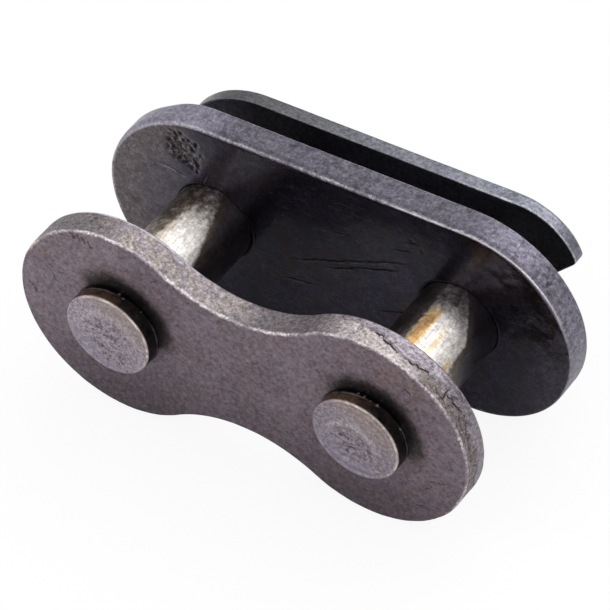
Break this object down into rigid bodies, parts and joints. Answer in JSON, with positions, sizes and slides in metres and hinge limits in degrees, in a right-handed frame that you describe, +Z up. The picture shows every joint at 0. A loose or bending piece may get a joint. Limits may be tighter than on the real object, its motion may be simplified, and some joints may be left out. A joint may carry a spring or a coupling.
{
  "type": "roller chain connecting link",
  "caption": "Spring-clip connecting link for a roller chain: waisted riveted plate with two pins, loose round-ended cover plate and flat clip.",
  "frame": {"origin": "bottom centre of the whole link's box, under the middle of the two pins, at the long lower edge of the cover plate", "axes": "+X along the chain from the left pin to the right pin, +Y along the pins from the riveted plate to the spring clip, +Z up"},
  "size_m": [0.024, 0.0134, 0.0107],
  "materials": {
    "plate_steel": "dark heat-treated steel, fine grain, bright worn edges",
    "pin_steel": "ground steel with straw temper tints",
    "cover_steel": "blue-grey oxide, rolled edge",
    "clip_steel": "blue-black spring steel"
  },
  "bodies": {
    "pin_link": {"pin_plate": "plate_steel", "pin_left": "pin_steel", "pin_right": "pin_steel"},
    "cover": {"cover_plate": "cover_steel"},
    "clip": {"spring_clip": "clip_steel"}
  },
  "joints": [
    {"name": "cover_slide", "type": "slide", "parent": "pin_link", "child": "cover", "axis": [0, 1, 0], "range_m": [-0.00614, 0.00176]},
    {"name": "clip_release", "type": "slide", "parent": "pin_link", "child": "clip", "axis": [-1, 0, 0], "range_m": [0, 0.021], "deforming": ["spring_clip"]}
  ]
}
